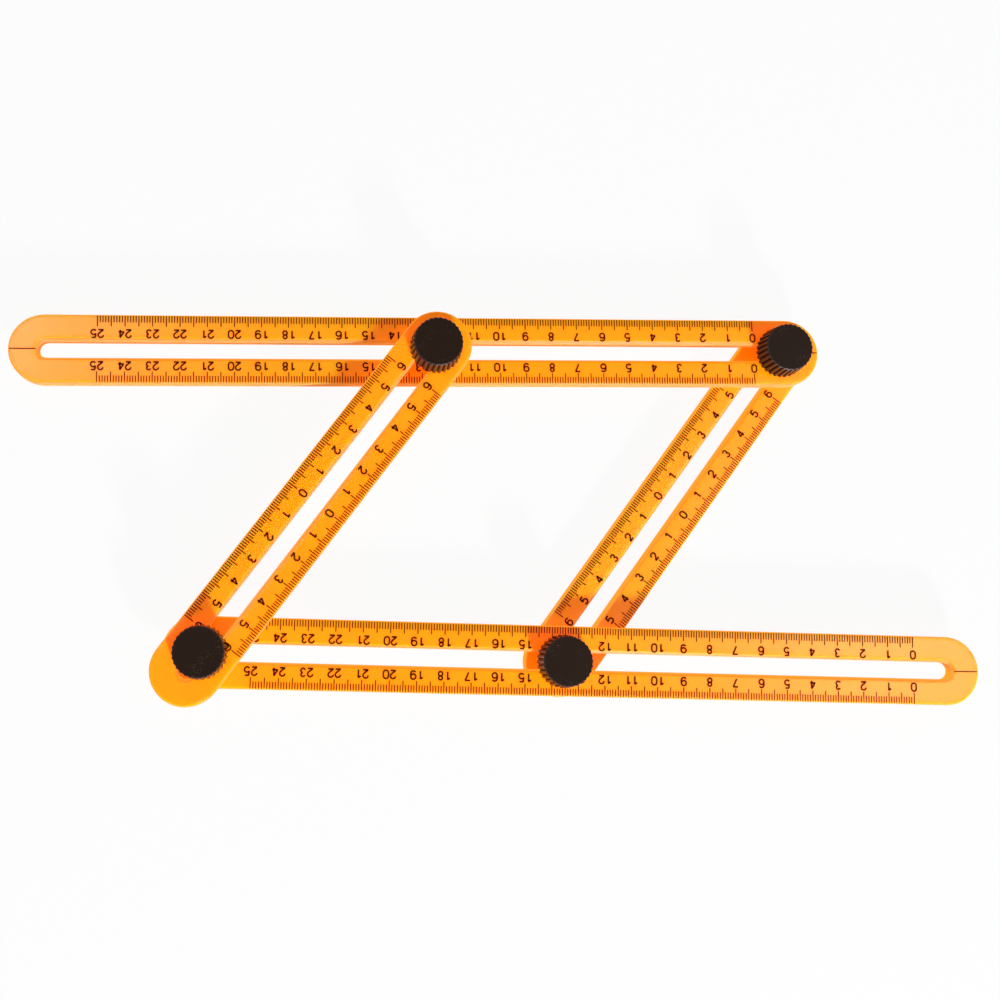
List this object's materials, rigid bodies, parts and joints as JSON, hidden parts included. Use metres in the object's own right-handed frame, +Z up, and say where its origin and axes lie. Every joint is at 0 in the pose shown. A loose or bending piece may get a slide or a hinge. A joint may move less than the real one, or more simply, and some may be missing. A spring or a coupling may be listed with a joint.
{
  "type": "multi-angle folding ruler",
  "caption": "Folding template ruler: slotted translucent arms with centimetre scales, clamped into an adjustable four-sided frame by ribbed thumb knobs.",
  "frame": {"origin": "under the middle of the outline, on the plane that the lowest bolt heads rest on", "axes": "+X along the upper long arm, from its high numbers to its zero; +Z up through the layers of arms to the knobs"},
  "size_m": [0.3637, 0.151, 0.026],
  "materials": {
    "arm_plastic": "translucent orange, moulded, soft gloss",
    "knob_plastic": "black, moulded, fine matte grain",
    "insert_brass": "turned brass",
    "bolt_steel": "zinc-plated steel"
  },
  "bodies": {
    "right_short_arm": {"right_short_arm": "arm_plastic"},
    "upper_right_bolt": {"upper_right_bolt": "bolt_steel"},
    "upper_right_washer": {"upper_right_washer": "bolt_steel"},
    "upper_right_knob": {"upper_right_knob": "knob_plastic", "upper_right_insert": "insert_brass"},
    "upper_long_arm": {"upper_long_arm": "arm_plastic"},
    "upper_left_bolt": {"upper_left_bolt": "bolt_steel"},
    "upper_left_washer": {"upper_left_washer": "bolt_steel"},
    "upper_left_knob": {"upper_left_knob": "knob_plastic", "upper_left_insert": "insert_brass"},
    "left_short_arm": {"left_short_arm": "arm_plastic"},
    "lower_right_bolt": {"lower_right_bolt": "bolt_steel"},
    "lower_right_washer": {"lower_right_washer": "bolt_steel"},
    "lower_right_knob": {"lower_right_knob": "knob_plastic", "lower_right_insert": "insert_brass"},
    "lower_long_arm": {"lower_long_arm": "arm_plastic"},
    "lower_left_bolt": {"lower_left_bolt": "bolt_steel", "lower_left_washer": "bolt_steel"},
    "lower_left_knob": {"lower_left_knob": "knob_plastic", "lower_left_insert": "insert_brass"}
  },
  "joints": [
    {"name": "right_short_arm_slide", "type": "slide", "parent": "right_short_arm", "child": "upper_right_bolt", "axis": [0.6128, 0.7903, 0], "range_m": [-0.00055, 0.00115]},
    {"name": "lower_right_bolt_slide", "type": "slide", "parent": "right_short_arm", "child": "lower_right_bolt", "axis": [0.6128, 0.7903, 0], "range_m": [-0.00055, 0.00115]},
    {"name": "frame_fold", "type": "hinge", "parent": "upper_right_bolt", "child": "upper_right_washer", "pos_m": [0.11093, 0.06161, 0.012], "axis": [0, 0, 1], "range_deg": [-105, 36]},
    {"name": "upper_long_arm_slide", "type": "slide", "parent": "upper_right_washer", "child": "upper_long_arm", "axis": [1, 0, 0], "range_m": [-0.0016, 0.14119]},
    {"name": "upper_left_bolt_slide", "type": "slide", "parent": "upper_right_washer", "child": "upper_left_bolt", "axis": [-1, 0, 0], "range_m": [-0.00485, 0.00167]},
    {"name": "upper_left_turn", "type": "hinge", "parent": "upper_left_bolt", "child": "upper_left_washer", "pos_m": [-0.02527, 0.06161, 0.017], "axis": [0, 0, 1], "range_deg": [-37.17, 108.42]},
    {"name": "left_short_arm_slide", "type": "slide", "parent": "upper_left_washer", "child": "left_short_arm", "axis": [0.615, 0.7885, 0], "range_m": [-0.0014, 0.0042]},
    {"name": "lower_right_turn", "type": "hinge", "parent": "lower_right_bolt", "child": "lower_right_washer", "pos_m": [0.01999, -0.05567, 0.012], "axis": [0, 0, 1], "range_deg": [-106.25, 36.43]},
    {"name": "lower_long_arm_slide", "type": "slide", "parent": "lower_right_washer", "child": "lower_long_arm", "axis": [0.9989, -0.0467, 0], "range_m": [-0.14844, 0.00015]},
    {"name": "lower_left_bolt_slide", "type": "slide", "parent": "lower_long_arm", "child": "lower_left_bolt", "axis": [0.9989, -0.0467, 0], "range_m": [-0.00015, 0.14844]},
    {"name": "upper_left_knob_turn", "type": "hinge", "parent": "upper_left_bolt", "child": "upper_left_knob", "pos_m": [-0.02527, 0.06161, 0.017], "axis": [0, 0, 1], "range_deg": [0, 360]},
    {"name": "upper_right_knob_turn", "type": "hinge", "parent": "upper_right_bolt", "child": "upper_right_knob", "pos_m": [0.11093, 0.06161, 0.012], "axis": [0, 0, 1], "range_deg": [0, 360]},
    {"name": "lower_left_knob_turn", "type": "hinge", "parent": "lower_left_bolt", "child": "lower_left_knob", "pos_m": [-0.11192, -0.0495, 0.017], "axis": [0, 0, 1], "range_deg": [0, 360]},
    {"name": "lower_right_knob_turn", "type": "hinge", "parent": "lower_right_bolt", "child": "lower_right_knob", "pos_m": [0.01999, -0.05567, 0.012], "axis": [0, 0, 1], "range_deg": [0, 360]}
  ],
  "couplings": [
    {"joint": "lower_right_bolt_slide", "follows": "right_short_arm_slide", "ratio": 1},
    {"joint": "upper_left_bolt_slide", "follows": "frame_fold", "m_per_rad": 0.0026481},
    {"joint": "upper_left_turn", "follows": "frame_fold", "ratio": -1.0326},
    {"joint": "lower_right_turn", "follows": "frame_fold", "ratio": 1.0119},
    {"joint": "lower_left_bolt_slide", "follows": "lower_long_arm_slide", "ratio": -1}
  ]
}
